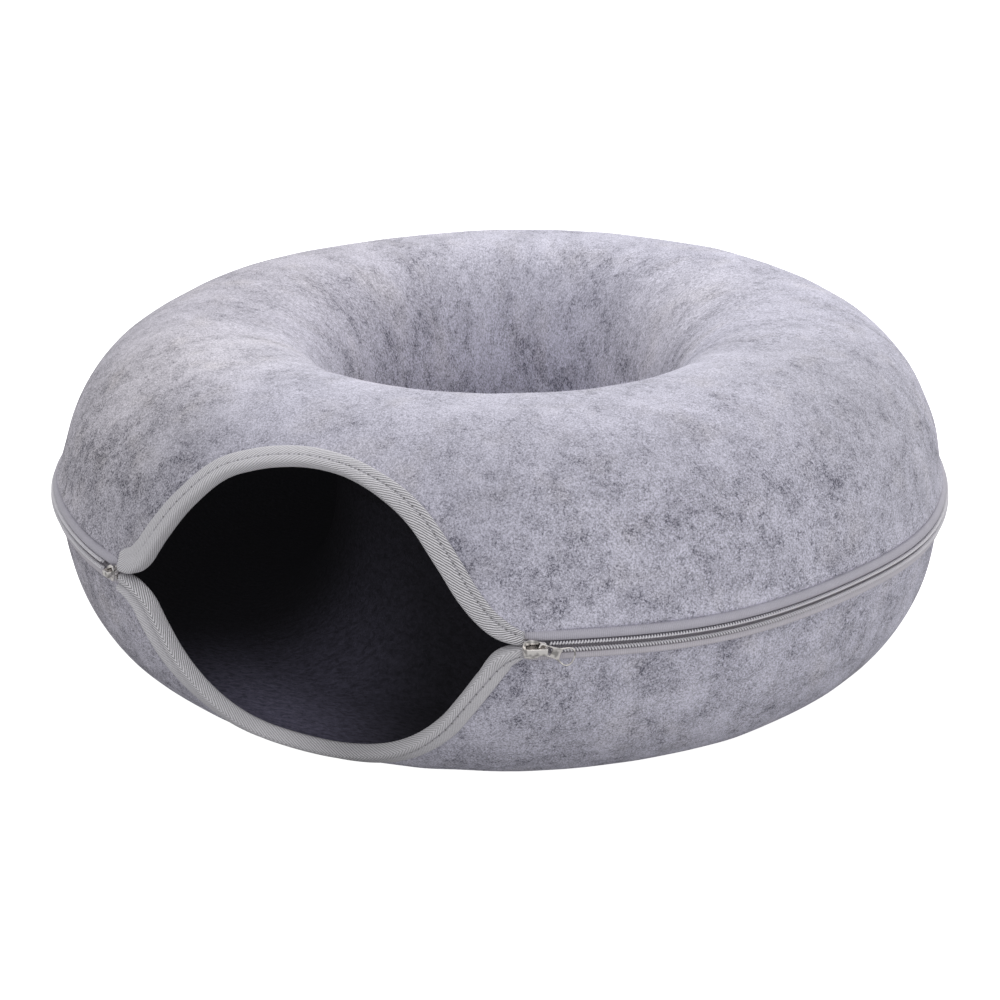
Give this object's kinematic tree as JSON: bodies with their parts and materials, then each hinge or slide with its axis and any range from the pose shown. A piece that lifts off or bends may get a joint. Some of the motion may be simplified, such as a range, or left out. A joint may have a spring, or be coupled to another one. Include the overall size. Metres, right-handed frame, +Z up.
{
  "type": "felt cat cave",
  "caption": "Ring-shaped felt cave for a cat: a round tunnel with an arched, tape-bound mouth, an open centre and a zip round the outside that joins its upper and lower halves.",
  "frame": {"origin": "on the floor, under the middle of the part's outline", "axes": "+Z up, -Y out through the mouth, +X along the longest width, towards the slider with the pull"},
  "size_m": [0.5126, 0.4893, 0.1877],
  "materials": {
    "grey_felt": "moulded polyester felt, matt",
    "grey_tape": "woven twill tape",
    "zip_nylon": "extruded nylon coil",
    "plated_zinc": "bright nickel plating on cast zinc"
  },
  "bodies": {
    "root": {"upper_half_ring": "grey_felt", "lower_half_ring": "grey_felt", "upper_mouth_binding": "grey_tape", "lower_mouth_binding": "grey_tape", "upper_zip_tape": "grey_tape", "lower_zip_tape": "grey_tape", "upper_zip_coil": "zip_nylon", "lower_zip_coil": "zip_nylon", "right_slider": "plated_zinc", "left_slider": "plated_zinc", "right_pull_tab": "plated_zinc"}
  },
  "joints": []
}
